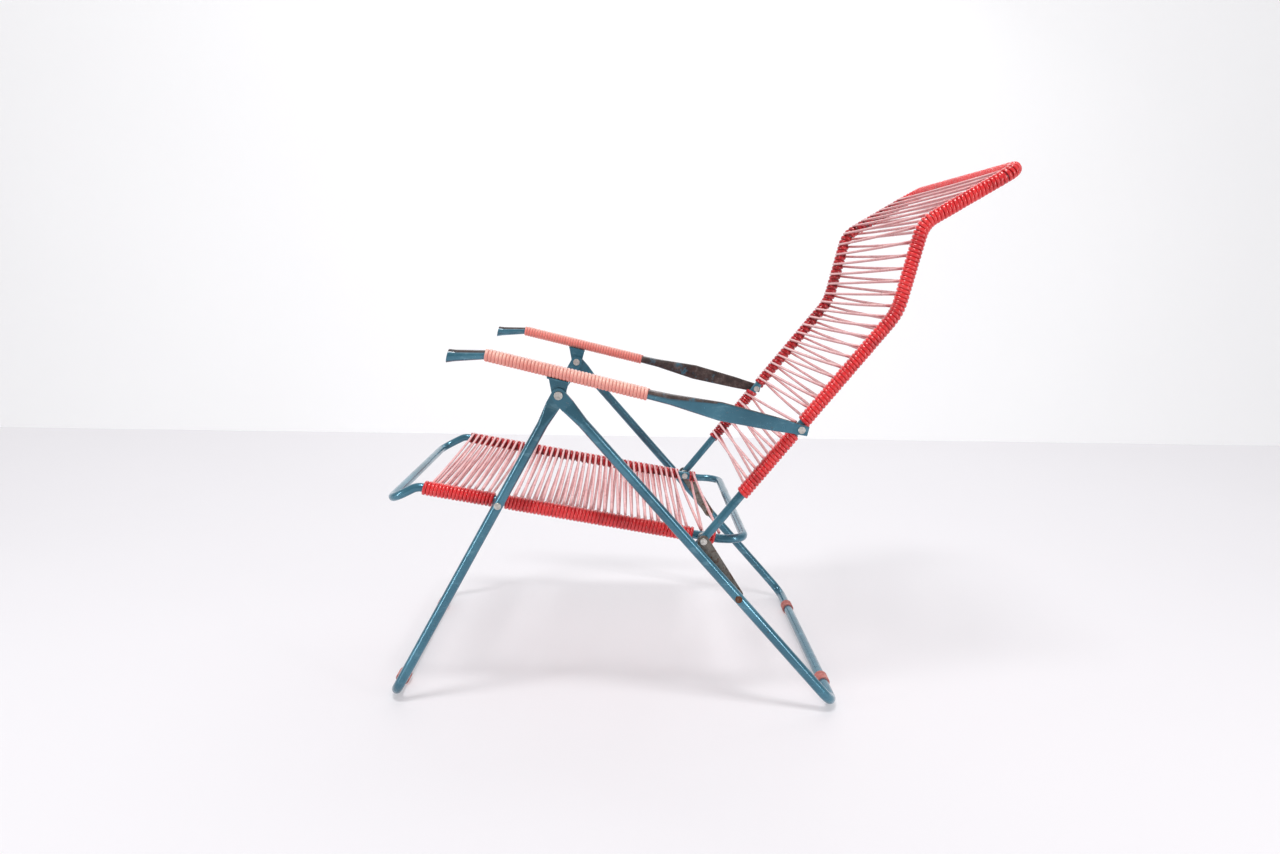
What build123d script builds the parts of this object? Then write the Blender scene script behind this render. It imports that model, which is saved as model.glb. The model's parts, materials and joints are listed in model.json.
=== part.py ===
from build123d import *
from math import hypot
import os

# Folding deck chair of bent steel tube with a corded seat and back.
# +Z is up, the chair faces -X, the sitter's left is -Y, and Y = 0 is its plane of symmetry.
# Points called (x, z) are in that plane. Every tube is followed on one side and mirrored.

# Pivot points, (x, z)
APEX = (-220.5, 542.0)
BACK_PIVOT = (176.0, 490.0)
SEAT_PIVOT = (21.5, 297.0)
LINK_ROOT_DISTANCE = 453.0
FRONT_PIVOT_DISTANCE = 214.05

# Floor bars and feet
REAR_FLOOR = (253.5, 12.0)
FRONT_FLOOR = (-505.5, 12.0)
FOOT_Y = 180.0
FOOT_LENGTH = 26.0
FOOT_RADIUS = 12.0

# Tubes
LEG_RADIUS = 9.0
RAIL_RADIUS = 7.5
TUBE_WALL = 1.3
REAR_LEG_Y = 278.0
FRONT_LEG_Y = 256.0
BACK_RAIL_Y = 254.0
SEAT_RAIL_Y = 230.0
LEG_CORNER = 34.0
RAIL_CORNER = 32.0

# Flattened leg ends
PADDLE_WIDTH = 24.0
PADDLE_THICKNESS = 6.0
PADDLE_LENGTH = 24.0
PADDLE_TAPER = 34.0

# Seat rail, front to back, and the stretches its binding covers
SEAT_FRONT = (-510.0, 352.0)
SEAT_SHOULDER = (-462.0, 376.5)
SEAT_KICK = (50.0, 292.2)
SEAT_REAR = (96.5, 291.0)
SEAT_BEND = 28.0
SEAT_BINDING_X = ((-450.0, -337.0), (-307.0, 6.0), (31.0, 44.0))

# Back rail from its foot to the headrest, with the binding's start, its gap and its end
BACK_KNEE = (325.0, 682.5)
BACK_NECK = (357.5, 824.0)
BACK_TOP = (505.5, 914.0)
BACK_TAIL = 14.0
KNEE_BEND = 90.0
NECK_BEND = 45.0
BACK_BINDING_START = 103.0
BACK_BINDING_GAP = (236.0, 259.0)

# Cord binding and webbing
CORD = 4.5
SLEEVE_RADIUS = RAIL_RADIUS + CORD
WEB_HALF_THICKNESS = 12.0
WEB_CLEARANCE = 0.4

# Armrests: (x, z, y, width, height) of the tube's section, front to back
ARM_Y = 286.0
ARM_SECTIONS = (
    (-395.0, 604.0, ARM_Y, 24.0, 22.0),
    (-384.0, 604.4, ARM_Y, 21.0, 19.0),
    (-334.5, 606.5, ARM_Y, 28.0, 14.0),
    (-77.0, 547.5, ARM_Y, 28.0, 14.0),
    (-40.0, 539.4, ARM_Y, 24.0, 17.0),
    (40.5, 521.0, 284.0, 8.0, 31.0),
    (130.0, 500.5, 274.0, 6.0, 24.0),
    (162.0, 493.2, 269.0, 5.0, 19.5),
    (187.0, 487.5, 269.0, 5.0, 16.0),
)
ARM_WRAP_SECTIONS = (2, 3)
ARM_WRAP_CORD = 3.0
BRACKET_Y = (270.0, 273.0)
BRACKET_FLANGE_Y = 298.0
BRACKET_TOP_HALF_WIDTH = 17.0
BRACKET_EYE_RADIUS = 11.0

# Links between the rear legs and the seat pivot
LINK_Y = (263.2, 265.7)
LINK_WIDTH = 20.0

# Rivets
SHANK = 3.0
APEX_SHANK = 3.5
RUNNING_FIT = 0.06
HEAD = 6.0
HEAD_EDGE = 0.9
HOLE_LENGTH = 700.0

SIDES = {"left": -1, "right": 1}


def toward(start, end, distance):
    """Point at a distance from start along the line to end."""
    length = hypot(end[0] - start[0], end[1] - start[1])
    share = distance / length
    return (start[0] + share * (end[0] - start[0]), start[1] + share * (end[1] - start[1]))


def at_x(start, end, x):
    """Point of the line from start to end that has the given x."""
    share = (x - start[0]) / (end[0] - start[0])
    return (x, start[1] + share * (end[1] - start[1]))


def lift(point, y):
    """Side-view point placed at a width y."""
    return Vector(point[0], y, point[1])


def save(piece, name):
    """Label a finished piece and write it out."""
    piece.label = name
    export_step(piece, f"parts/{name}.step")


def tube(points, bends, outer, inner):
    """Round tube, or a sleeve on one, along a filleted path of 3-D points."""
    with BuildPart() as run:
        with BuildLine() as route:
            FilletPolyline(*points, radius=bends)
        with BuildSketch(Plane(origin=route.line @ 0, z_dir=route.line % 0)):
            Circle(outer)
            Circle(inner, mode=Mode.SUBTRACT)
        sweep()
    return run.part


def straight_tube(start, end, outer, inner):
    """Straight tube or sleeve between two 3-D points."""
    with BuildPart() as run:
        with BuildSketch(Plane(origin=start, z_dir=end - start)):
            Circle(outer)
            Circle(inner, mode=Mode.SUBTRACT)
        extrude(amount=(end - start).length)
    return run.part


def rivet(point, side, steps):
    """Stepped pin across the chair: each step is (nearer y, farther y, radius)."""
    with BuildPart() as pin:
        for near, far, radius in steps:
            with BuildSketch(Plane(lift(point, side * near), x_dir=(1, 0, 0), z_dir=(0, side, 0))):
                Circle(radius)
            extrude(amount=far - near)
        rims = pin.edges().filter_by(GeomType.CIRCLE).group_by(Axis.Y)
        outer_rim = rims[-1 if side > 0 else 0].filter_by(lambda edge: edge.radius > SHANK + 1)
        if outer_rim:
            fillet(outer_rim, HEAD_EDGE)
    return pin.part


LINK_ROOT = toward(APEX, REAR_FLOOR, LINK_ROOT_DISTANCE)
FRONT_PIVOT = toward(APEX, FRONT_FLOOR, FRONT_PIVOT_DISTANCE)
LINK_LENGTH = hypot(LINK_ROOT[0] - SEAT_PIVOT[0], LINK_ROOT[1] - SEAT_PIVOT[1])

os.makedirs("parts", exist_ok=True)

# Leg frames: a U of round tube whose upper ends are pressed flat and rivetted at the apex
for frame_name, floor, leg_y, holes in (
    ("rear_leg_frame", REAR_FLOOR, REAR_LEG_Y, ((APEX, APEX_SHANK), (LINK_ROOT, SHANK))),
    ("front_leg_frame", FRONT_FLOOR, FRONT_LEG_Y, ((APEX, APEX_SHANK + RUNNING_FIT), (FRONT_PIVOT, SHANK))),
):
    leg_start = toward(APEX, floor, PADDLE_LENGTH + PADDLE_TAPER)
    flat_start = toward(APEX, floor, PADDLE_LENGTH)
    leg_points = [lift(leg_start, leg_y), lift(floor, leg_y), lift(floor, 0)]
    down = (lift(floor, 0) - lift(APEX, 0)).normalized()
    across = down.cross(Vector(0, 1, 0))
    half_leg = tube(leg_points, LEG_CORNER, LEG_RADIUS, LEG_RADIUS - TUBE_WALL)
    with BuildPart() as leg_frame:
        add(half_leg)
        with BuildSketch(Plane(lift(leg_start, leg_y), x_dir=across, z_dir=-down)):
            RectangleRounded(2 * LEG_RADIUS, 2 * LEG_RADIUS, LEG_RADIUS - 0.1)
        with BuildSketch(Plane(lift(flat_start, leg_y), x_dir=across, z_dir=-down)):
            RectangleRounded(PADDLE_WIDTH, PADDLE_THICKNESS, PADDLE_THICKNESS / 2 - 0.1)
        loft(ruled=True)
        with BuildSketch(Plane(lift(APEX, leg_y), x_dir=down, z_dir=(0, 1, 0))):
            with Locations((PADDLE_LENGTH / 2, 0)):
                Rectangle(PADDLE_LENGTH, PADDLE_WIDTH)
            Circle(PADDLE_WIDTH / 2)
        extrude(amount=PADDLE_THICKNESS / 2, both=True)
        mirror(about=Plane.XZ)
        for hole_point, hole_radius in holes:
            with Locations(Location(lift(hole_point, 0), (90, 0, 0))):
                Cylinder(hole_radius, HOLE_LENGTH, mode=Mode.SUBTRACT)
    save(leg_frame.part, frame_name)

# Rubber feet around the floor bars
for foot_name, floor in (("rear_foot", REAR_FLOOR), ("front_foot", FRONT_FLOOR)):
    for side_name, side in SIDES.items():
        foot_plane = Plane(lift(floor, side * FOOT_Y), x_dir=(1, 0, 0), z_dir=(0, side, 0))
        with BuildPart() as foot:
            with BuildSketch(foot_plane):
                Circle(FOOT_RADIUS)
                Circle(LEG_RADIUS, mode=Mode.SUBTRACT)
            extrude(amount=FOOT_LENGTH / 2, both=True)
            foot_circles = foot.edges().filter_by(GeomType.CIRCLE)
            fillet(foot_circles.filter_by(lambda edge: edge.radius > LEG_RADIUS + 1), 1.2)
        save(foot.part, f"{foot_name}_{side_name}")

# Rivets, spacers and links, one set on each side
APEX_STEPS = ((250.4, 252.8, HEAD + 1), (252.8, 281.0, APEX_SHANK), (259.3, 269.7, HEAD + 1))
APEX_STEPS += ((273.3, 274.8, HEAD + 2), (281.0, 284.0, HEAD + 1))
LINK_STEPS = ((261.8, 263.0, HEAD), (263.0, 287.0, SHANK), (265.9, 268.9, HEAD + 1), (287.0, 289.6, HEAD))
BACK_STEPS = ((244.0, 246.3, HEAD), (246.3, 271.5, SHANK), (261.8, 266.4, HEAD + 1), (271.5, 274.0, HEAD))
SEAT_STEPS = ((219.9, 222.3, HEAD), (222.3, 261.8, SHANK), (237.8, 246.3, HEAD + 2))
BOSS_STEPS = ((219.9, 222.5, HEAD), (222.5, 237.5, SHANK), (237.5, 246.5, HEAD + 2))
FRONT_STEPS = ((247.2, 265.0, SHANK), (265.0, 267.6, HEAD))
CAP_STEPS = ((LINK_Y[0], LINK_Y[1], SHANK), (LINK_Y[1], 268.2, HEAD))
for side_name, side in SIDES.items():
    save(rivet(APEX, side, APEX_STEPS), f"apex_rivet_{side_name}")
    save(rivet(LINK_ROOT, side, LINK_STEPS), f"link_root_rivet_{side_name}")
    save(rivet(BACK_PIVOT, side, BACK_STEPS), f"back_rivet_{side_name}")
    save(rivet(SEAT_PIVOT, side, SEAT_STEPS), f"seat_pivot_rivet_{side_name}")
    save(rivet(FRONT_PIVOT, side, BOSS_STEPS), f"seat_boss_{side_name}")
    save(rivet(FRONT_PIVOT, side, FRONT_STEPS), f"front_leg_rivet_{side_name}")
    save(rivet(SEAT_PIVOT, side, CAP_STEPS), f"link_cap_{side_name}")
    link_axis = lift(LINK_ROOT, 0) - lift(SEAT_PIVOT, 0)
    link_plane = Plane(lift(SEAT_PIVOT, side * LINK_Y[0]), x_dir=link_axis, z_dir=(0, side, 0))
    with BuildPart() as link:
        with BuildSketch(link_plane):
            with Locations((LINK_LENGTH / 2, 0)):
                SlotCenterToCenter(LINK_LENGTH, LINK_WIDTH)
            Circle(SHANK, mode=Mode.SUBTRACT)
            with Locations((LINK_LENGTH, 0)):
                Circle(SHANK + RUNNING_FIT, mode=Mode.SUBTRACT)
        extrude(amount=LINK_Y[1] - LINK_Y[0])
    save(link.part, f"link_{side_name}")

# Seat frame: one closed loop of tube
half_seat_points = [
    lift(SEAT_REAR, 0),
    lift(SEAT_REAR, SEAT_RAIL_Y),
    lift(SEAT_KICK, SEAT_RAIL_Y),
    lift(SEAT_SHOULDER, SEAT_RAIL_Y),
    lift(SEAT_FRONT, SEAT_RAIL_Y),
    lift(SEAT_FRONT, 0),
]
seat_bends = [RAIL_CORNER, 2 * SEAT_BEND, SEAT_BEND, RAIL_CORNER]
half_seat = tube(half_seat_points, seat_bends, RAIL_RADIUS, RAIL_RADIUS - TUBE_WALL)
with BuildPart() as seat_tube:
    add(half_seat)
    mirror(about=Plane.XZ)
    with Locations(Location(lift(SEAT_PIVOT, 0), (90, 0, 0))):
        Cylinder(SHANK + RUNNING_FIT, HOLE_LENGTH, mode=Mode.SUBTRACT)
    with Locations(Location(lift(FRONT_PIVOT, 0), (90, 0, 0))):
        Cylinder(SHANK, HOLE_LENGTH, mode=Mode.SUBTRACT)
save(seat_tube.part, "seat_tube")

# Seat binding: cord wound round the side rails, interrupted at the two pivots
for side_name, side in SIDES.items():
    for stretch_name, (x_start, x_end) in zip(("front", "middle", "rear"), SEAT_BINDING_X):
        sleeve_start = lift(at_x(SEAT_SHOULDER, SEAT_KICK, x_start), side * SEAT_RAIL_Y)
        sleeve_end = lift(at_x(SEAT_SHOULDER, SEAT_KICK, x_end), side * SEAT_RAIL_Y)
        sleeve = straight_tube(sleeve_start, sleeve_end, SLEEVE_RADIUS, RAIL_RADIUS)
        save(sleeve, f"seat_binding_{stretch_name}_{side_name}")

# Seat webbing: the strung cords as one slab between the rails
web_front = at_x(SEAT_SHOULDER, SEAT_KICK, SEAT_BINDING_X[0][0])
web_rear = at_x(SEAT_SHOULDER, SEAT_KICK, SEAT_BINDING_X[2][1])
seat_web_axis = (lift(web_rear, 0) - lift(web_front, 0)).normalized()
with BuildPart() as seat_webbing:
    with BuildSketch(Plane(lift(web_front, 0), x_dir=(0, 1, 0), z_dir=seat_web_axis)):
        Rectangle(2 * (SEAT_RAIL_Y - SLEEVE_RADIUS - WEB_CLEARANCE), 2 * WEB_HALF_THICKNESS)
    extrude(amount=(lift(web_rear, 0) - lift(web_front, 0)).length)
save(seat_webbing.part, "seat_webbing")

# Back frame: rails that bend at the knee and again at the neck into the headrest
BACK_FOOT = toward(SEAT_PIVOT, BACK_KNEE, -BACK_TAIL)
half_back_points = [
    lift(BACK_FOOT, BACK_RAIL_Y),
    lift(BACK_KNEE, BACK_RAIL_Y),
    lift(BACK_NECK, BACK_RAIL_Y),
    lift(BACK_TOP, BACK_RAIL_Y),
    lift(BACK_TOP, 0),
]
back_bends = [KNEE_BEND, NECK_BEND, RAIL_CORNER]
half_back = tube(half_back_points, back_bends, RAIL_RADIUS, RAIL_RADIUS - TUBE_WALL)
with BuildPart() as back_tube:
    add(half_back)
    mirror(about=Plane.XZ)
    with Locations(Location(lift(SEAT_PIVOT, 0), (90, 0, 0))):
        Cylinder(SHANK, HOLE_LENGTH, mode=Mode.SUBTRACT)
    with Locations(Location(lift(BACK_PIVOT, 0), (90, 0, 0))):
        Cylinder(SHANK + RUNNING_FIT, HOLE_LENGTH, mode=Mode.SUBTRACT)
save(back_tube.part, "back_tube")

# Back binding: below and above the armrest pivot, and round the headrest bar
binding_start = toward(SEAT_PIVOT, BACK_KNEE, BACK_BINDING_START)
gap_start = toward(SEAT_PIVOT, BACK_KNEE, BACK_BINDING_GAP[0])
gap_end = toward(SEAT_PIVOT, BACK_KNEE, BACK_BINDING_GAP[1])
corner_start = toward(BACK_TOP, BACK_NECK, RAIL_CORNER + 1)
for side_name, side in SIDES.items():
    rail_y = side * BACK_RAIL_Y
    lower = straight_tube(lift(binding_start, rail_y), lift(gap_start, rail_y), SLEEVE_RADIUS, RAIL_RADIUS)
    save(lower, f"back_binding_lower_{side_name}")
    upper_points = [lift(point, rail_y) for point in (gap_end, BACK_KNEE, BACK_NECK, corner_start)]
    upper = tube(upper_points, [KNEE_BEND, NECK_BEND], SLEEVE_RADIUS, RAIL_RADIUS)
    save(upper, f"back_binding_upper_{side_name}")
crown_points = [lift(corner_start, BACK_RAIL_Y), lift(BACK_TOP, BACK_RAIL_Y), lift(BACK_TOP, 0)]
half_crown = tube(crown_points, RAIL_CORNER, SLEEVE_RADIUS, RAIL_RADIUS)
with BuildPart() as headrest_binding:
    add(half_crown)
    mirror(about=Plane.XZ)
save(headrest_binding.part, "headrest_binding")

# Back webbing: one slab that follows the rails up to the headrest bar
web_top = toward(BACK_TOP, BACK_NECK, SLEEVE_RADIUS + WEB_CLEARANCE)
half_web_width = BACK_RAIL_Y - SLEEVE_RADIUS - WEB_CLEARANCE
crown_room = RAIL_CORNER + 3
with BuildPart() as back_webbing:
    with BuildLine() as web_route:
        FilletPolyline(
            lift(binding_start, 0),
            lift(BACK_KNEE, 0),
            lift(BACK_NECK, 0),
            lift(web_top, 0),
            radius=[KNEE_BEND, NECK_BEND],
        )
    with BuildSketch(Plane(web_route.line @ 0, x_dir=(0, 1, 0), z_dir=web_route.line % 0)):
        Rectangle(2 * half_web_width, 2 * WEB_HALF_THICKNESS)
    sweep()
    for side in SIDES.values():
        corner_middle = lift(web_top, side * half_web_width)
        with BuildSketch(Plane(corner_middle, x_dir=(0, 1, 0), z_dir=web_route.line % 1)):
            Rectangle(2 * crown_room, 4 * WEB_HALF_THICKNESS)
        extrude(amount=-crown_room, mode=Mode.SUBTRACT)
save(back_webbing.part, "back_webbing")

# Armrests: one tube, pressed wide under the hand and pressed tall behind it
arm_axis = (Vector(*BACK_PIVOT) - Vector(*ARM_SECTIONS[2][:2])).normalized()
arm_direction = Vector(arm_axis.X, 0, arm_axis.Y)
wrap_front, wrap_rear = (ARM_SECTIONS[index] for index in ARM_WRAP_SECTIONS)
hollow_sections = ARM_SECTIONS[1:5]
for side_name, side in SIDES.items():
    with BuildPart() as armrest_tube:
        for front, rear in zip(ARM_SECTIONS, ARM_SECTIONS[1:]):
            for x, z, y, width, height in (front, rear):
                with BuildSketch(Plane((x, side * y, z), x_dir=(0, 1, 0), z_dir=arm_direction)):
                    RectangleRounded(width, height, min(width, height) / 2 - 0.1)
            loft(ruled=True)
        for front, rear in zip(hollow_sections, hollow_sections[1:]):
            for x, z, y, width, height in (front, rear):
                with BuildSketch(Plane((x, side * y, z), x_dir=(0, 1, 0), z_dir=arm_direction)):
                    core_width = width - 2 * TUBE_WALL
                    core_height = height - 2 * TUBE_WALL
                    RectangleRounded(core_width, core_height, min(core_width, core_height) / 2 - 0.1)
            loft(ruled=True, mode=Mode.SUBTRACT)
        with Locations(Location(lift(BACK_PIVOT, 0), (90, 0, 0))):
            Cylinder(SHANK, HOLE_LENGTH, mode=Mode.SUBTRACT)
    save(armrest_tube.part, f"armrest_tube_{side_name}")

    # Cord wrap where the hand rests
    wrap_start = Vector(wrap_front[0], side * ARM_Y, wrap_front[1])
    wrap_end = Vector(wrap_rear[0], side * ARM_Y, wrap_rear[1])
    outer_width = wrap_front[3] + 2 * ARM_WRAP_CORD
    outer_height = wrap_front[4] + 2 * ARM_WRAP_CORD
    with BuildPart() as armrest_wrap:
        for plane_origin in (wrap_start, wrap_end):
            with BuildSketch(Plane(plane_origin, x_dir=(0, 1, 0), z_dir=arm_direction)):
                RectangleRounded(outer_width, outer_height, outer_height / 2 - 0.1)
                RectangleRounded(wrap_front[3], wrap_front[4], wrap_front[4] / 2 - 0.1, mode=Mode.SUBTRACT)
        loft(ruled=True)
    save(armrest_wrap.part, f"armrest_wrap_{side_name}")

    # Bracket that hangs the armrest's weight on the apex rivet
    below = wrap_front[4] / 2 + ARM_WRAP_CORD + 0.05
    bracket_x = BRACKET_TOP_HALF_WIDTH
    arm_line = (wrap_front[:2], wrap_rear[:2])
    top_left = at_x(*arm_line, APEX[0] - bracket_x)
    top_right = at_x(*arm_line, APEX[0] + bracket_x)
    drop = below / arm_direction.X
    with BuildPart() as bracket:
        with BuildSketch(Plane((0, side * BRACKET_Y[0], 0), x_dir=(1, 0, 0), z_dir=(0, -1, 0))):
            with Locations(APEX):
                Circle(BRACKET_EYE_RADIUS)
            with BuildLine():
                Polyline(
                    (APEX[0] - BRACKET_EYE_RADIUS, APEX[1]),
                    (top_left[0], top_left[1] - drop),
                    (top_right[0], top_right[1] - drop),
                    (APEX[0] + BRACKET_EYE_RADIUS, APEX[1]),
                    close=True,
                )
            make_face()
            with Locations(APEX):
                Circle(APEX_SHANK + RUNNING_FIT, mode=Mode.SUBTRACT)
        extrude(amount=-side * (BRACKET_Y[1] - BRACKET_Y[0]))
        with BuildSketch(Plane((0, side * BRACKET_Y[0], 0), x_dir=(1, 0, 0), z_dir=(0, -1, 0))):
            with BuildLine():
                Polyline(
                    (top_left[0], top_left[1] - drop),
                    (top_right[0], top_right[1] - drop),
                    (top_right[0], top_right[1] - drop - 2.5),
                    (top_left[0], top_left[1] - drop - 2.5),
                    close=True,
                )
            make_face()
        extrude(amount=-side * (BRACKET_FLANGE_Y - BRACKET_Y[0]))
    save(bracket.part, f"armrest_bracket_{side_name}")
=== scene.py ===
import json
import math
import random

import bpy
from mathutils import Matrix, Vector


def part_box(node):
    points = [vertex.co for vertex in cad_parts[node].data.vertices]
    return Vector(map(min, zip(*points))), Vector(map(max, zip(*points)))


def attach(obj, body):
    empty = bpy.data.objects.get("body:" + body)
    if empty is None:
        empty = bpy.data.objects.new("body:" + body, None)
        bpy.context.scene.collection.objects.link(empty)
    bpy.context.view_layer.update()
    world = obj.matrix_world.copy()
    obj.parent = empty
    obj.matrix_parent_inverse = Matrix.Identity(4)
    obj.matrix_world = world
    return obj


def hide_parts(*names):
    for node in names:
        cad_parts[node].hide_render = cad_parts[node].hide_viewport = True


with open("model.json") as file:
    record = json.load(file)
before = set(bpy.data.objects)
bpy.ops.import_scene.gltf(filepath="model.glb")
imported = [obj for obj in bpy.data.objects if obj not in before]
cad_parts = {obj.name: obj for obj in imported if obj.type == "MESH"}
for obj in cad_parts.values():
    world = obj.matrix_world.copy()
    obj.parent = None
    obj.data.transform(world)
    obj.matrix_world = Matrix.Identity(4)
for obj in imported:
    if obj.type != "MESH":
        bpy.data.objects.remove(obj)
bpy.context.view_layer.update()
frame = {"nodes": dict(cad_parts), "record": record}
rng = random.Random(11)

# Rails and the cord wound on them, in metres
RAIL_RADIUS = 0.0075
CORD_THICK = 0.0044
UNDERLAY = 0.0014
TURN_STEPS = 22
TURN_DRIFT = 0.00016
TURN_SWELL = (-0.00010, 0.00014)
TUCK_TURN = 0.10
SLEEVE_INSET = 0.001

# Centre-lines of the rails in the side view (x, z)
SEAT_LINE = [(-0.462, 0.3765), (0.050, 0.2922)]
PIVOTS = {joint["name"]: Vector(joint["pos_m"]) for joint in frame["record"]["behaviour"]["joints"]}
SEAT_PIVOT = (PIVOTS["seat_swing"].x, PIVOTS["seat_swing"].z)
BACK_LINE = [SEAT_PIVOT, (0.325, 0.6825), (0.3575, 0.824), (0.5055, 0.914)]
BACK_BENDS = {1: 0.090, 2: 0.045}
SEAT_Y = 0.230
BACK_Y = 0.254
RAIL_CORNER = 0.032
WRAP_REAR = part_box("armrest_wrap_left")[1][0]

# Cord strung to and fro between the rails
PALE = 0.0026
LAYER = RAIL_RADIUS + PALE
STRAND_STEPS = 14
LOOP_STEPS = 12
STRAND_SHIFT = 0.0006
STRAND_SWAY = 0.0009
STRAND_INSET = 0.0040
STRAND_DIP = 0.0006
LOOP_LEAD = 0.0004
STRAND_SPREAD = (-0.00012, 0.00010)

# Armrest wraps: ends (x, z) of the wound stretch, and the pressed tube under them
ARM_FRONT = (-0.3345, 0.6065)
ARM_REAR = (-0.0770, 0.5475)
ARM_HALF_HEIGHT = 0.0070
ARM_CORD = 0.003
ARM_PITCH = 0.0057
ARM_STEPS = 40


# ---------------------------------------------------------------- paths and tubes
def rounded_line(points, bends, step=0.001):
    """Dense points along a polyline of 2-D or 3-D points with rounded corners."""
    points = [Vector(point) for point in points]
    dense = [points[0]]
    for index in range(1, len(points) - 1):
        before = (points[index - 1] - points[index]).normalized()
        after = (points[index + 1] - points[index]).normalized()
        radius = bends.get(index, 0)
        if not radius:
            dense.append(points[index])
            continue
        half_angle = before.angle(after) / 2
        reach = radius / math.tan(half_angle)
        centre = points[index] + (before + after).normalized() * (radius / math.sin(half_angle))
        start = points[index] + before * reach
        end = points[index] + after * reach
        arm_a = start - centre
        arm_b = end - centre
        turn = arm_a.angle(arm_b)
        count = max(4, int(turn * radius / step))
        for tick in range(count + 1):
            share = tick / count
            weight_a = math.sin((1 - share) * turn) / math.sin(turn)
            weight_b = math.sin(share * turn) / math.sin(turn)
            dense.append(centre + arm_a * weight_a + arm_b * weight_b)
    dense.append(points[-1])
    return dense


class Route:
    """A centre-line measured by length, with a frame at each place."""

    def __init__(self, points, front):
        self.points = points
        self.front = front
        self.at = [0.0]
        for first, second in zip(points, points[1:]):
            self.at.append(self.at[-1] + (second - first).length)
        self.length = self.at[-1]

    def place(self, distance):
        """Centre, tangent, front normal and side normal at a distance."""
        distance = min(max(distance, 0.0), self.length - 1e-6)
        low = 0
        high = len(self.at) - 1
        while high - low > 1:
            middle = (low + high) // 2
            if self.at[middle] <= distance:
                low = middle
            else:
                high = middle
        first = self.points[low]
        second = self.points[high]
        share = (distance - self.at[low]) / max(self.at[high] - self.at[low], 1e-9)
        tangent = (second - first).normalized()
        front = (self.front - tangent * self.front.dot(tangent)).normalized()
        return first.lerp(second, share), tangent, front, tangent.cross(front)


def side_route(line, bends, y, front):
    """Route of a rail in the plane y."""
    flat = rounded_line(line, bends)
    return Route([Vector((p.x, y, p.y)) for p in flat], front)


def make_mesh(name, vertices, faces):
    mesh = bpy.data.meshes.new(name)
    mesh.from_pydata(vertices, [], faces)
    mesh.polygons.foreach_set("use_smooth", [True] * len(faces))
    mesh.update()
    piece = bpy.data.objects.new(name, mesh)
    bpy.context.scene.collection.objects.link(piece)
    return piece


class Bundle:
    """Vertices and faces of several tubes, joined in one mesh."""

    def __init__(self):
        self.vertices = []
        self.faces = []

    def tube(self, centres, wides, thicks, half_wide, half_thick, sides=10, power=1.0):
        """Tube through centres; wides and thicks are each ring's axes."""
        base = len(self.vertices)
        for index, centre in enumerate(centres):
            for side in range(sides):
                angle = 2 * math.pi * side / sides
                cos = math.cos(angle)
                sin = math.sin(angle)
                cos = math.copysign(abs(cos) ** power, cos)
                sin = math.copysign(abs(sin) ** power, sin)
                scale = half_wide[index] if isinstance(half_wide, list) else half_wide
                sideways = wides[index] * (cos * scale)
                self.vertices.append(centre + sideways + thicks[index] * (sin * half_thick))
        for ring in range(len(centres) - 1):
            for side in range(sides):
                other = (side + 1) % sides
                low = base + ring * sides
                self.faces.append((low + side, low + other, low + sides + other, low + sides + side))
        self.faces.append(tuple(base + side for side in reversed(range(sides))))
        last = base + (len(centres) - 1) * sides
        self.faces.append(tuple(last + side for side in range(sides)))

    def cord(self, centres, radius, sides=8):
        """Round cord through centres, with a frame carried along it."""
        tangents = []
        for index in range(len(centres)):
            before = centres[max(index - 1, 0)]
            after = centres[min(index + 1, len(centres) - 1)]
            tangents.append((after - before).normalized())
        helper = Vector((0.31, 0.05, 0.95))
        wides = []
        thicks = []
        for tangent in tangents:
            wide = (helper - tangent * helper.dot(tangent)).normalized()
            wides.append(wide)
            thicks.append(tangent.cross(wide))
            helper = wide
        self.tube(centres, wides, thicks, radius, radius, sides)

    def object(self, name):
        return make_mesh(name, [tuple(v) for v in self.vertices], self.faces)


def dress(piece, material):
    piece.data.materials.clear()
    piece.data.materials.append(MATERIALS[material])


# ---------------------------------------------------------------- wound cord
def underlay(name, route, start, end, body):
    """Dark red tube under the turns, seen only where they part: painted shade in the grooves between turns."""
    bundle = Bundle()
    start = start + SLEEVE_INSET
    end = end - SLEEVE_INSET
    count = max(2, int((end - start) / 0.004))
    places = [route.place(start + (end - start) * tick / count) for tick in range(count + 1)]
    fronts = [place[2] for place in places]
    sides = [place[3] for place in places]
    radius = RAIL_RADIUS + UNDERLAY
    bundle.tube([place[0] for place in places], fronts, sides, radius, radius, sides=20)
    piece = bundle.object(name + "_underlay")
    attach(piece, body)
    dress(piece, "groove_shade_red")


def wind(bundle, route, start, end, pitch, outward, core=RAIL_RADIUS, phase=0.0, tucked=True, fill=0.48):
    """Cord wound round a rail from start to end, with its two ends tucked in if they are free."""
    half_thick = CORD_THICK / 2
    turns = max((end - start) / pitch, 0.35)
    count = int(turns * TURN_STEPS)
    centres = []
    wides = []
    thicks = []
    half_wides = []
    drift = 0.0
    for tick in range(count + 1):
        turn = turns * tick / count
        if tick % TURN_STEPS == 0:
            drift = 0.6 * drift + rng.uniform(-TURN_DRIFT, TURN_DRIFT)
            swell = rng.uniform(*TURN_SWELL)
        middle, tangent, front, side = route.place(start + (end - start) * tick / count + drift)
        angle = phase + 2 * math.pi * turn
        radial = front * math.cos(angle) + side * (outward * math.sin(angle))
        sink = 0.0
        ends = min(turn, turns - turn)
        if tucked and ends < TUCK_TURN:
            sink = (TUCK_TURN - ends) / TUCK_TURN * CORD_THICK
        centres.append(middle + radial * (core + half_thick + swell - sink))
        wides.append(tangent)
        thicks.append(radial)
        half_wides.append(pitch * fill + swell)
    bundle.tube(centres, wides, thicks, half_wides, half_thick, sides=12, power=0.94)


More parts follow.
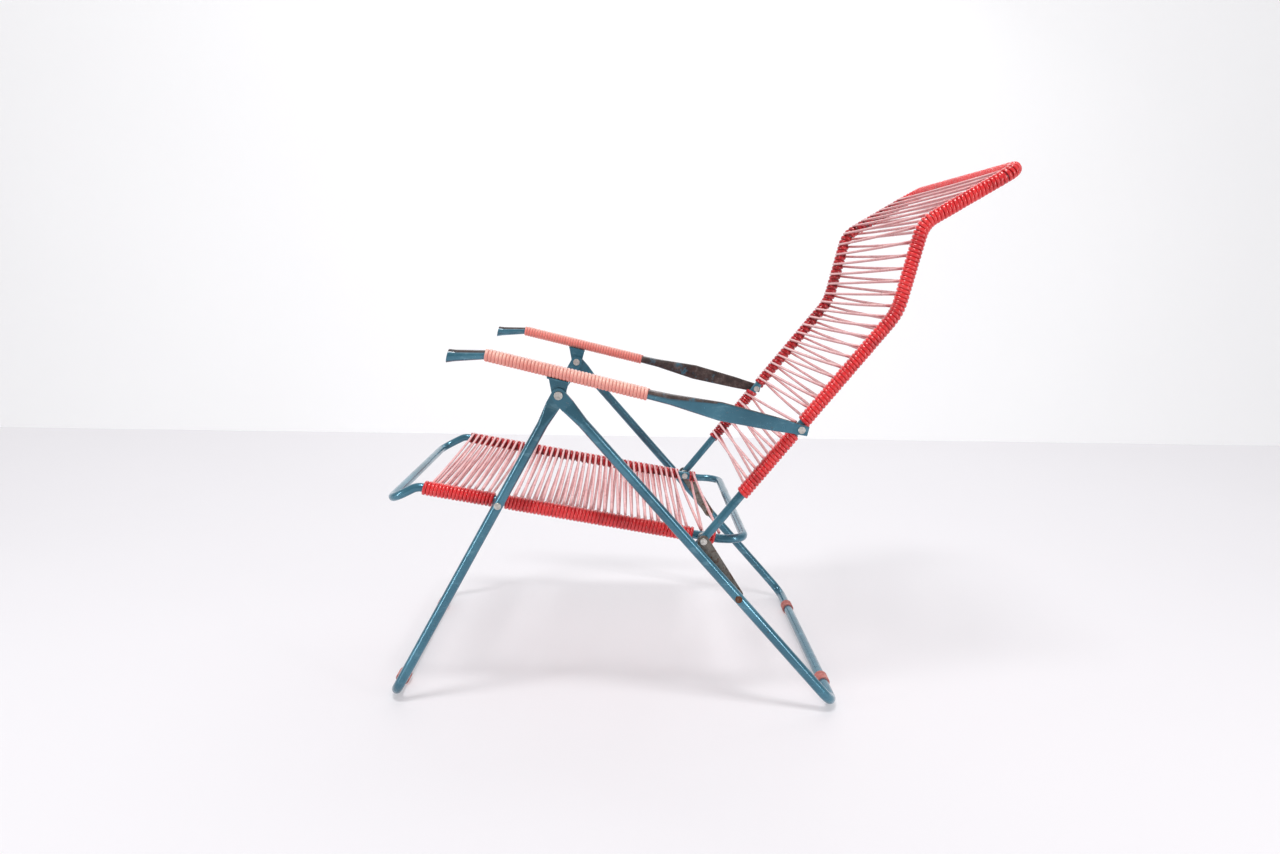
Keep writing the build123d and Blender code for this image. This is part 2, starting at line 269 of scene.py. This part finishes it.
def red_stretch(name, route, start, end, pitch, outward, body, nodes, core=RAIL_RADIUS, tucked=True):
    """One continuous winding, standing for one plain sleeve."""
    bundle = Bundle()
    underlay(name, route, start, end, body)
    turns = round((end - start) / pitch)
    wind(bundle, route, start, end, (end - start) / turns, outward, core, math.pi * 0.9, tucked=tucked)
    piece = bundle.object(name)
    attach(piece, body)
    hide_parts(*nodes)
    return piece


def red_blocks(name, route, start, end, loops, gap, pitch, outward, body, nodes):
    """Winding broken by the strung cord's loops, standing for one plain sleeve."""
    bundle = Bundle()
    underlay(name, route, start, end, body)
    edges = [start]
    for loop in loops:
        if start - gap < loop < end + gap:
            edges.extend((loop - gap / 2, loop + gap / 2))
    edges.append(end)
    for low, high in zip(edges[0::2], edges[1::2]):
        low = max(low, start)
        high = min(high, end)
        if high - low < 0.45 * pitch:
            continue
        turns = max(1, round((high - low) / pitch))
        phase = math.pi * 1.1 + rng.uniform(-0.3, 0.3)
        wind(bundle, route, low, high, (high - low) / turns, outward, phase=phase, tucked=False, fill=0.44)
    piece = bundle.object(name)
    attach(piece, body)
    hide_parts(*nodes)
    return piece


# ---------------------------------------------------------------- materials
def nodes_of(name):
    material = bpy.data.materials.new(name)
    material.use_nodes = True
    tree = material.node_tree
    shader = tree.nodes["Principled BSDF"]
    return material, tree, shader


def link(tree, source, target):
    tree.links.new(source, target)


def coordinates(tree, scale=(1, 1, 1)):
    place = tree.nodes.new("ShaderNodeTexCoord")
    mapping = tree.nodes.new("ShaderNodeMapping")
    mapping.inputs["Scale"].default_value = scale
    link(tree, place.outputs["Object"], mapping.inputs["Vector"])
    return mapping.outputs["Vector"]


def noise(tree, scale, detail=4.0, roughness=0.55, vector=None, distortion=0.0):
    node = tree.nodes.new("ShaderNodeTexNoise")
    node.inputs["Scale"].default_value = scale
    node.inputs["Detail"].default_value = detail
    node.inputs["Roughness"].default_value = roughness
    node.inputs["Distortion"].default_value = distortion
    link(tree, vector if vector is not None else coordinates(tree), node.inputs["Vector"])
    return node.outputs["Fac"]


def ramp(tree, value, stops):
    node = tree.nodes.new("ShaderNodeValToRGB")
    while len(node.color_ramp.elements) > 1:
        node.color_ramp.elements.remove(node.color_ramp.elements[-1])
    for index, (position, colour) in enumerate(stops):
        stop = node.color_ramp.elements[0] if index == 0 else node.color_ramp.elements.new(position)
        stop.position = position
        if not isinstance(colour, tuple):
            colour = (colour, colour, colour)
        stop.color = (*colour, 1.0)
    link(tree, value, node.inputs["Fac"])
    return node.outputs["Color"]


def mix(tree, factor, first, second):
    node = tree.nodes.new("ShaderNodeMix")
    node.data_type = "RGBA"
    sockets = [node.inputs[key] for key in ("Factor", "A", "B")]
    for socket, value in zip(sockets, (factor, first, second)):
        if isinstance(value, (int, float)):
            socket.default_value = value
        elif isinstance(value, tuple):
            socket.default_value = (*value, 1.0)
        else:
            link(tree, value, socket)
    for output in node.outputs:
        if output.type == "RGBA":
            return output


def math_node(tree, operation, first, second=0.0):
    node = tree.nodes.new("ShaderNodeMath")
    node.operation = operation
    node.use_clamp = True
    for socket, value in ((node.inputs[0], first), (node.inputs[1], second)):
        if isinstance(value, (int, float)):
            socket.default_value = value
        else:
            link(tree, value, socket)
    return node.outputs["Value"]


def bump(tree, shader, height, strength, distance):
    node = tree.nodes.new("ShaderNodeBump")
    node.inputs["Strength"].default_value = strength
    node.inputs["Distance"].default_value = distance
    link(tree, height, node.inputs["Height"])
    link(tree, node.outputs["Normal"], shader.inputs["Normal"])


def split_output(tree, output):
    """The X, Y and Z of a texture coordinate at rest, which a pose doesn't change."""
    place = tree.nodes.new("ShaderNodeTexCoord")
    split = tree.nodes.new("ShaderNodeSeparateXYZ")
    link(tree, place.outputs[output], split.inputs["Vector"])
    return split.outputs


def upward(tree):
    """How far a surface faces up, from -1 to 1."""
    return split_output(tree, "Normal")["Z"]


def inward(tree):
    """How far a surface faces the sitter: a positive share on the armrests' inner sides."""
    product = tree.nodes.new("ShaderNodeMath")
    product.operation = "MULTIPLY"
    link(tree, split_output(tree, "Normal")["Y"], product.inputs[0])
    link(tree, split_output(tree, "Object")["Y"], product.inputs[1])
    return math_node(tree, "MULTIPLY", product.outputs["Value"], -3.6)


def paint(name, worn_tops=False):
    """Teal-blue enamel with chips, scuffs and rust; the armrests' upper faces are worn brown."""
    material, tree, shader = nodes_of(name)
    base = ramp(tree, noise(tree, 9.0, 5.0), [
        (0.30, (0.026, 0.115, 0.170)), (0.52, (0.044, 0.165, 0.235)), (0.72, (0.075, 0.235, 0.320))])
    streaks = noise(tree, 60.0, 6.0, 0.7, coordinates(tree, (0.35, 1.0, 1.0)))
    base = mix(tree, ramp(tree, streaks, [(0.56, 0.0), (0.66, 0.45)]), base, (0.16, 0.34, 0.42))
    scuff = ramp(tree, noise(tree, 150.0, 8.0, 0.75, distortion=1.2), [(0.60, 0.0), (0.645, 1.0)])
    patch = ramp(tree, noise(tree, 14.0, 3.0), [(0.48, 0.0), (0.62, 1.0)])
    chips = math_node(tree, "MULTIPLY", scuff, patch)
    bare = ramp(tree, noise(tree, 300.0, 4.0), [
        (0.35, (0.028, 0.012, 0.008)), (0.55, (0.085, 0.033, 0.018)), (0.75, (0.20, 0.16, 0.13))])
    mask = chips
    if worn_tops:
        top = ramp(tree, upward(tree), [(0.42, 0.0), (0.72, 1.0)])
        inner = ramp(tree, inward(tree), [(0.25, 0.0), (0.55, 1.0)])
        along = split_output(tree, "Object")["X"]
        behind_wrap = math_node(tree, "GREATER_THAN", along, WRAP_REAR - 0.004)
        before_bend = math_node(tree, "LESS_THAN", along, WRAP_REAR + 0.11)
        upper = ramp(tree, upward(tree), [(0.02, 0.0), (0.34, 1.0)])
        upper = math_node(tree, "MULTIPLY", upper, math_node(tree, "MULTIPLY", behind_wrap, before_bend))
        inner = math_node(tree, "MULTIPLY", inner, behind_wrap)
        facing = math_node(tree, "MAXIMUM", math_node(tree, "MAXIMUM", top, upper), inner)
        ragged = ramp(tree, noise(tree, 38.0, 7.0, 0.72), [(0.30, 0.0), (0.44, 1.0)])
        mask = math_node(tree, "MAXIMUM", chips, math_node(tree, "MULTIPLY", facing, ragged))
        bare = ramp(tree, noise(tree, 70.0, 7.0, 0.7), [
            (0.30, (0.022, 0.018, 0.019)), (0.50, (0.062, 0.040, 0.036)), (0.72, (0.16, 0.125, 0.115))])
    link(tree, mix(tree, mask, base, bare), shader.inputs["Base Color"])
    gloss = ramp(tree, noise(tree, 45.0, 6.0), [(0.3, 0.16), (0.7, 0.30)])
    link(tree, mix(tree, mask, gloss, (0.72, 0.72, 0.72)), shader.inputs["Roughness"])
    height = mix(tree, mask, noise(tree, 220.0, 3.0), (0.1, 0.1, 0.1))
    bump(tree, shader, height, 0.14, 0.0005)
    shader.inputs["Metallic"].default_value = 0.5
    shader.inputs["Coat Weight"].default_value = 0.5
    shader.inputs["Coat Roughness"].default_value = 0.10
    return material


def plastic(name, dark, middle, light, rough, grime, coat=0.3, soft=0.0,
            shaded=None, underside_shade=0.5, shade_inner_sides=False):
    """Plastic cord: uneven colour and specks of dirt; painted shade darkens its underside and, if asked, the
    armrests' inner sides; lighter patches towards its upper side.
    """
    material, tree, shader = nodes_of(name)
    colour = ramp(tree, noise(tree, 24.0, 5.0, 0.6), [(0.28, dark), (0.50, middle), (0.74, light)])
    # Painted shade: faces turned down, and if asked the armrests' inner sides, are mixed towards the shaded
    # colour.
    if shaded:
        below = ramp(tree, upward(tree), [(0.05, 1.0), (0.50, 0.0)])
        painted_shade = math_node(tree, "MULTIPLY", below, underside_shade)
        if shade_inner_sides:
            painted_shade = math_node(tree, "MAXIMUM", painted_shade, inward(tree))
        colour = mix(tree, painted_shade, colour, shaded)
    specks = ramp(tree, noise(tree, 420.0, 4.0, 0.6), [(0.60, 0.0), (0.74, 0.55)])
    colour = mix(tree, specks, colour, grime)
    # Patches mixed towards the light colour, more on faces turned up.
    lighter_top_patches = math_node(tree, "MULTIPLY", ramp(tree, upward(tree), [(0.2, 0.0), (1.0, 0.35)]),
                     ramp(tree, noise(tree, 55.0, 6.0), [(0.42, 0.0), (0.66, 1.0)]))
    colour = mix(tree, lighter_top_patches, colour, light)
    link(tree, colour, shader.inputs["Base Color"])
    gloss = ramp(tree, noise(tree, 130.0, 5.0), [(0.3, rough - 0.07), (0.7, rough + 0.12)])
    link(tree, gloss, shader.inputs["Roughness"])
    bump(tree, shader, noise(tree, 260.0, 5.0, 0.6), 0.16, 0.0006)
    shader.inputs["Coat Weight"].default_value = coat
    shader.inputs["Coat Roughness"].default_value = 0.12
    if soft:
        shader.inputs["Subsurface Weight"].default_value = soft
        shader.inputs["Subsurface Radius"].default_value = (0.004, 0.0018, 0.0015)
        shader.inputs["Subsurface Scale"].default_value = 0.6
    return material


def metal(name, dark, light, rough, rust=0.0):
    """Bare steel, tarnished, with rust in places."""
    material, tree, shader = nodes_of(name)
    colour = ramp(tree, noise(tree, 160.0, 7.0, 0.7), [(0.3, dark), (0.7, light)])
    if rust:
        spots = ramp(tree, noise(tree, 90.0, 8.0, 0.75), [(0.62 - rust * 0.3, 0.0), (0.68 - rust * 0.3, 1.0)])
        colour = mix(tree, spots, colour, (0.12, 0.045, 0.02))
    link(tree, colour, shader.inputs["Base Color"])
    gloss = ramp(tree, noise(tree, 210.0, 6.0), [(0.3, rough - 0.08), (0.7, rough + 0.16)])
    link(tree, gloss, shader.inputs["Roughness"])
    bump(tree, shader, noise(tree, 500.0, 4.0), 0.2, 0.0004)
    shader.inputs["Metallic"].default_value = 0.85 - 0.5 * rust
    return material


def rubber(name):
    """Faded red rubber, mottled with dirt."""
    material, tree, shader = nodes_of(name)
    colour = ramp(tree, noise(tree, 70.0, 7.0, 0.7), [
        (0.30, (0.30, 0.075, 0.065)), (0.50, (0.48, 0.15, 0.13)), (0.72, (0.60, 0.30, 0.27))])
    dirt = ramp(tree, noise(tree, 210.0, 6.0, 0.7), [(0.55, 0.0), (0.68, 0.8)])
    link(tree, mix(tree, dirt, colour, (0.20, 0.14, 0.12)), shader.inputs["Base Color"])
    link(tree, ramp(tree, noise(tree, 90.0), [(0.3, 0.62), (0.7, 0.88)]), shader.inputs["Roughness"])
    bump(tree, shader, noise(tree, 380.0, 6.0, 0.7), 0.45, 0.0008)
    return material


MATERIALS = {
    "blue_paint": paint("teal_enamel"),
    "armrest_paint": paint("teal_enamel_worn", worn_tops=True),
    "red_cord": plastic("red_cord", (0.46, 0.005, 0.010), (0.71, 0.014, 0.018), (0.80, 0.045, 0.042), 0.22,
                        (0.36, 0.01, 0.015), coat=0.6, soft=0.10),
    # Painted shade on the pale and salmon cords: shaded is the colour of their undersides, and on the salmon
    # wraps also of the armrests' inner sides.
    "pale_cord": plastic("pale_cord", (0.60, 0.19, 0.20), (0.77, 0.33, 0.33), (0.86, 0.49, 0.47), 0.30,
                         (0.46, 0.16, 0.16), coat=0.35, soft=0.05, shaded=(0.42, 0.045, 0.055), underside_shade=0.72),
    "salmon_cord": plastic("salmon_cord", (0.68, 0.27, 0.22), (0.78, 0.39, 0.32), (0.86, 0.53, 0.44), 0.36,
                           (0.55, 0.26, 0.20), coat=0.15, soft=0.2, shaded=(0.80, 0.20, 0.17), shade_inner_sides=True),
    # Painted shade: a darker copy of red_cord for the right rails' windings.
    "shaded_red_cord": plastic("shaded_red_cord", (0.24, 0.003, 0.008), (0.46, 0.007, 0.014), (0.64, 0.022, 0.026), 0.22,
                        (0.20, 0.005, 0.01), coat=0.6),
    # Painted shade: a darker salmon for the armrests' linings seen in the grooves between turns.
    "groove_shade_salmon": plastic("groove_shade_salmon", (0.42, 0.08, 0.07), (0.56, 0.14, 0.12), (0.66, 0.20, 0.17), 0.45,
                           (0.35, 0.08, 0.07)),
    # Painted shade: a near-black red for the linings seen in the grooves between red turns.
    "groove_shade_red": plastic("groove_shade_red", (0.10, 0.002, 0.005), (0.20, 0.003, 0.008), (0.30, 0.010, 0.015), 0.40,
                        (0.08, 0.005, 0.005)),
    "rubber": rubber("faded_rubber"),
    "bare_steel": metal("dull_steel", (0.10, 0.09, 0.08), (0.30, 0.27, 0.24), 0.5, rust=0.25),
    "grey_spacer": metal("grey_washer", (0.22, 0.20, 0.17), (0.48, 0.44, 0.38), 0.55),
    "rivet_steel": metal("rivet_steel", (0.38, 0.36, 0.33), (0.78, 0.76, 0.72), 0.3),
    "rusty_rivet": metal("rusty_rivet", (0.09, 0.05, 0.035), (0.30, 0.20, 0.15), 0.6, rust=0.8),
}


SPECIAL_FINISHES = {"armrest_tube": "armrest_paint", "link_root_rivet": "rusty_rivet"}
for entry in frame["record"]["subparts"]:
    wanted = entry["material_slot"]
    for prefix, material in SPECIAL_FINISHES.items():
        if entry["node"].startswith(prefix):
            wanted = material
    for socket in frame["nodes"][entry["node"]].material_slots:
        socket.material = MATERIALS[wanted]

# ---------------------------------------------------------------- the rails' routes
UP = Vector((0, 0, 1))
SITTER = Vector((-1, 0, 0.35))
seat_routes = {side: side_route(SEAT_LINE, {}, side * SEAT_Y, UP) for side in (-1, 1)}
back_routes = {side: side_route(BACK_LINE, BACK_BENDS, side * BACK_Y, SITTER) for side in (-1, 1)}


def seat_at(x):
    """Distance along the seat rail's straight line at a place x."""
    line = Vector(SEAT_LINE[1]) - Vector(SEAT_LINE[0])
    return (x - SEAT_LINE[0][0]) / line.x * line.length


SEAT_SPANS = {
    "front": (seat_at(-0.450), seat_at(-0.3325)),
    "middle": (seat_at(-0.3115), seat_at(0.006)),
    "rear": (seat_at(0.031), seat_at(0.044)),
}
BACK_START = 0.103
GAP_START = 0.236
GAP_END = 0.259
back_end = back_routes[1].length - RAIL_CORNER - 0.001

# Length of rail that one strung loop takes, and the pitch of the windings beside it
SEAT_UNIT = 0.0121
BACK_UNIT = 0.0210
SEAT_PITCH = 0.0062
SEAT_BLOCK_PITCH = 0.0070
BACK_PITCH = 0.0066
CROWN_PITCH = 0.0069
SEAT_LOOP_GAP = 0.0050
BACK_LOOP_GAP = 0.0052
CROWN_LAP = 0.0045


def loop_places(start, end, unit):
    """Places of the strung cord's loops along one stretch of a rail."""
    count = max(1, round((end - start) / unit))
    return [start + (index + 0.5) * (end - start) / count for index in range(count)]


seat_loops = {part: loop_places(low, high, SEAT_UNIT) for part, (low, high) in SEAT_SPANS.items()}
back_loops = loop_places(BACK_START, GAP_START, BACK_UNIT) + loop_places(GAP_END, back_end, BACK_UNIT)

# ---------------------------------------------------------------- red windings
for part, (low, high) in SEAT_SPANS.items():
    for side, side_name in ((-1, "left"), (1, "right")):
        name = f"seat_winding_{part}_{side_name}"
        node = f"seat_binding_{part}_{side_name}"
        if side < 0:
            piece = red_stretch(name, seat_routes[side], low, high, SEAT_PITCH, side, "seat_frame", [node],
                                core=RAIL_RADIUS + 0.0008)
        else:
            piece = red_blocks(name, seat_routes[side], low, high, seat_loops[part], SEAT_LOOP_GAP,
                               SEAT_BLOCK_PITCH, side, "seat_frame", [node])
        # The right rails take the darker red copy: painted shade.
        dress(piece, "red_cord" if side < 0 else "shaded_red_cord")

for side, side_name in ((-1, "left"), (1, "right")):
    for part, low, high in (("lower", BACK_START, GAP_START), ("upper", GAP_END, back_end)):
        name = f"back_winding_{part}_{side_name}"
        node = f"back_binding_{part}_{side_name}"
        if side < 0:
            piece = red_stretch(name, back_routes[side], low, high, BACK_PITCH, side, "back_frame", [node],
                                tucked=part == "lower")
        else:
            piece = red_blocks(name, back_routes[side], low, high, back_loops, BACK_LOOP_GAP,
                               BACK_PITCH, side, "back_frame", [node])
        # The right rails take the darker red copy: painted shade.
        dress(piece, "red_cord" if side < 0 else "shaded_red_cord")

crown_start = back_routes[1].place(back_end - CROWN_LAP)[0]
crown_x, crown_z = BACK_LINE[3]
crown_points = [(crown_start.x, -BACK_Y, crown_start.z), (crown_x, -BACK_Y, crown_z),
                (crown_x, BACK_Y, crown_z), (crown_start.x, BACK_Y, crown_start.z)]
crown = Route(rounded_line(crown_points, {1: RAIL_CORNER, 2: RAIL_CORNER}), Vector((-0.52, 0, 0.854)))
crown_piece = red_stretch("headrest_winding", crown, 0.0, crown.length, CROWN_PITCH, 1, "back_frame",
                          ["headrest_binding"], tucked=False)
dress(crown_piece, "red_cord")


# ---------------------------------------------------------------- strung cords
def strand(first, last, ticks, drop, sway, tangent):
    """Points between two places, with a little sag down and along the rail."""
    points = []
    for tick in ticks:
        share = tick / STRAND_STEPS
        sag = 4 * share * (1 - share)
        points.append(first.lerp(last, share) + Vector((0, 0, -drop)) * sag + tangent * (sway * sag))
    return points


def loop_round(middle, front, tangent):
    """Half a turn round the outer side of the right rail."""
    points = []
    for tick in range(LOOP_STEPS + 1):
        angle = math.pi * tick / LOOP_STEPS
        radial = front * math.cos(angle) + Vector((0, math.sin(angle), 0))
        points.append(middle + radial * LAYER + tangent * (LOOP_LEAD * tick / LOOP_STEPS))
    return points


def strung(name, routes, places, skew, body, slump, node):
    """Cord strung to and fro: over the front of both rails, round the right one, back behind."""
    bundle = Bundle()
    left = routes[-1]
    right = routes[1]
    inset = Vector((0, STRAND_INSET, 0))
    for index, place in enumerate(places):
        following = places[min(index + 1, len(places) - 1)]
        unit = following - place if following > place else place - places[index - 1]
        shift = rng.uniform(-STRAND_SHIFT, STRAND_SHIFT)
        middle_r, tangent, front_r, _ = right.place(place)
        middle_f, _, front_f, _ = left.place(place + unit * skew + shift)
        middle_b, _, front_b, _ = left.place(place + unit * (skew - 1.0) * 0.5 + shift)
        start = middle_f + front_f * (LAYER - STRAND_DIP) + inset
        end = middle_b - front_b * (LAYER - STRAND_DIP) + inset
        drop = slump * rng.uniform(0.6, 1.4)
        sway = rng.uniform(-STRAND_SWAY, STRAND_SWAY)
        points = strand(start, middle_r + front_r * LAYER, range(STRAND_STEPS), drop, sway, tangent)
        points += loop_round(middle_r, front_r, tangent)
        drop = slump * rng.uniform(0.5, 1.2)
        sway = rng.uniform(-STRAND_SWAY, STRAND_SWAY)
        bend_out = middle_r - front_r * LAYER + tangent * LOOP_LEAD
        points += strand(bend_out, end, range(1, STRAND_STEPS + 1), drop, sway, tangent)
        bundle.cord(points, PALE + rng.uniform(*STRAND_SPREAD))
    piece = bundle.object(name)
    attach(piece, body)
    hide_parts(node)
    dress(piece, "pale_cord")


all_seat = [place for part in ("front", "middle", "rear") for place in seat_loops[part]]
strung("seat_strings", seat_routes, all_seat, 0.5, "seat_frame", 0.0022, "seat_webbing")
strung("back_strings", back_routes, back_loops, 0.6, "back_frame", 0.0012, "back_webbing")


# ---------------------------------------------------------------- armrest wraps
def oval(angle, half_width, half_height):
    """Point and normal of a flattened tube's outline: two straight sides and two round ends."""
    straight = half_width - half_height
    round_length = math.pi * half_height
    total = 2 * round_length + 4 * straight
    run = (angle / (2 * math.pi) % 1.0) * total
    if run < 2 * straight:
        return (straight - run, half_height), (0.0, 1.0)
    run -= 2 * straight
    if run < round_length:
        turn = math.pi / 2 + run / half_height
        normal = (math.cos(turn), math.sin(turn))
        return (-straight + half_height * normal[0], half_height * normal[1]), normal
    run -= round_length
    if run < 2 * straight:
        return (-straight + run, -half_height), (0.0, -1.0)
    run -= 2 * straight
    turn = -math.pi / 2 + run / half_height
    normal = (math.cos(turn), math.sin(turn))
    return (straight + half_height * normal[0], half_height * normal[1]), normal


def arm_lining(name, start, end, around):
    """Dark salmon lining under an armrest's wrap, seen only between the turns: painted shade in the grooves.
    """
    lining = Bundle()
    ring = 48
    for place in (start, end):
        for tick in range(ring):
            offset, radial = around(2 * math.pi * tick / ring)
            lining.vertices.append(place + offset + radial * 0.0011)
    for tick in range(ring):
        other = (tick + 1) % ring
        lining.faces.append((tick, other, ring + other, ring + tick))
    lining.faces.append(tuple(reversed(range(ring))))
    lining.faces.append(tuple(range(ring, 2 * ring)))
    piece = lining.object(name)
    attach(piece, "armrests")
    dress(piece, "groove_shade_salmon")


def arm_winding(side_name):
    """Cord wound round the pressed part of one armrest."""
    low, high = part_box(f"armrest_wrap_{side_name}")
    arm_y = (low[1] + high[1]) / 2
    half_width = (high[1] - low[1]) / 2 - ARM_CORD
    start = Vector((ARM_FRONT[0], arm_y, ARM_FRONT[1]))
    end = Vector((ARM_REAR[0], arm_y, ARM_REAR[1]))
    along = (end - start).normalized()
    above = Vector((-along.z, 0, along.x))

    def around(angle):
        (across, up), (normal_a, normal_u) = oval(angle, half_width, ARM_HALF_HEIGHT)
        return Vector((0, across, 0)) + above * up, Vector((0, normal_a, 0)) + above * normal_u

    turns = round((end - start).length / ARM_PITCH)
    pitch = (end - start).length / turns
    bundle = Bundle()
    centres = []
    radials = []
    last = turns * ARM_STEPS
    for tick in range(last + 1):
        if tick % ARM_STEPS == 0:
            swell = rng.uniform(-0.00012, 0.00012)
        offset, radial = around(2 * math.pi * (tick % ARM_STEPS) / ARM_STEPS)
        place = start + along * (pitch * tick / ARM_STEPS) + offset
        sink = 0.0012 * max(0.0, 1 - min(tick, last - tick) / 8)
        centres.append(place + radial * (0.00145 + swell - sink))
        radials.append(radial)
    bundle.tube(centres, [along] * len(centres), radials, pitch * 0.475, 0.0016, sides=10)
    inset = along * SLEEVE_INSET
    arm_lining(f"armrest_lining_{side_name}", start + inset, end - inset, around)
    piece = bundle.object(f"armrest_winding_{side_name}")
    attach(piece, "armrests")
    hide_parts(f"armrest_wrap_{side_name}")
    dress(piece, "salmon_cord")


for side_name in ("left", "right"):
    arm_winding(side_name)


# ---------------------------------------------------------------- studio
def plain(name, colour, rough, glow=0.0):
    material, tree, shader = nodes_of(name)
    tint = tuple(channel * 0.985 for channel in colour)
    link(tree, ramp(tree, noise(tree, 1.2, 3.0), [(0.3, tint), (0.7, colour)]), shader.inputs["Base Color"])
    shader.inputs["Roughness"].default_value = rough
    shader.inputs["Emission Color"].default_value = (*colour, 1.0)
    shader.inputs["Emission Strength"].default_value = glow
    return material


def sheet_of(name, corners, material):
    mesh = bpy.data.meshes.new(name)
    mesh.from_pydata(corners, [], [(0, 1, 2, 3)])
    piece = bpy.data.objects.new(name, mesh)
    mesh.materials.append(material)
    bpy.context.scene.collection.objects.link(piece)


WALL_Y = 2.3
floor_paint = plain("pale_floor", (0.46, 0.45, 0.465), 0.55, glow=0.80)
wall_paint = plain("pale_wall", (0.80, 0.80, 0.805), 0.7, glow=0.31)
sheet_of("floor", [(-8, -6, 0), (8, -6, 0), (8, WALL_Y, 0), (-8, WALL_Y, 0)], floor_paint)
sheet_of("wall", [(-8, WALL_Y, 0), (8, WALL_Y, 0), (8, WALL_Y, 6), (-8, WALL_Y, 6)], wall_paint)

world = bpy.data.worlds.new("studio")
bpy.context.scene.world = world
world.use_nodes = True
world.node_tree.nodes["Background"].inputs["Color"].default_value = (0.98, 0.98, 1.0, 1.0)
world.node_tree.nodes["Background"].inputs["Strength"].default_value = 0.46
bpy.context.scene.view_settings.view_transform = "Standard"
bpy.context.scene.view_settings.look = "None"


def soft_light(name, place, target, size, power):
    data = bpy.data.lights.new(name, "AREA")
    data.shape = "RECTANGLE"
    data.size, data.size_y = size
    data.energy = power
    lamp = bpy.data.objects.new(name, data)
    lamp.location = place
    lamp.rotation_euler = (Vector(target) - Vector(place)).to_track_quat("-Z", "Y").to_euler()
    bpy.context.scene.collection.objects.link(lamp)


soft_light("key", (-0.5, -1.25, 4.3), (0, 0, 0.0), (1.1, 0.6), 100)
soft_light("left_strip", (-2.2, -1.2, 0.50), (-0.3, -0.2, 0.3), (0.16, 1.5), 13)
soft_light("right_strip", (1.7, -1.6, 0.92), (0.1, -0.2, 0.3), (0.16, 1.5), 13)
soft_light("rim", (0.9, 1.8, 2.6), (0, 0, 0.6), (2.0, 0.4), 10)

# ---------------------------------------------------------------- camera
# The chair's +Y axis as the camera sees it, sideways and down per unit ahead, then the roll in radians
AXIS_RIGHT = -0.01533
AXIS_DOWN = -0.17467
LENS = 25.3125
ahead = Vector((AXIS_RIGHT, AXIS_DOWN, 1.0)).normalized()
across = Vector((1, 0, 0)) - ahead * ahead.x
across.normalize()
above = -ahead.cross(across)
ROLL = -0.0177
right = across * math.cos(ROLL) + above * math.sin(ROLL)
top = above * math.cos(ROLL) - across * math.sin(ROLL)
camera_data = bpy.data.cameras.new("camera")
camera_data.sensor_width = 36.0
camera_data.lens = LENS
camera_data.clip_start = 0.05
camera = bpy.data.objects.new("camera", camera_data)
bpy.context.scene.collection.objects.link(camera)
turn = Matrix((
    (right.x, ahead.x, top.x),
    (-right.y, -ahead.y, -top.y),
    (-right.z, -ahead.z, -top.z),
)).transposed().to_4x4()
camera.matrix_world = Matrix.Translation((-0.1145, -1.7146, 0.743)) @ turn
bpy.context.scene.camera = camera
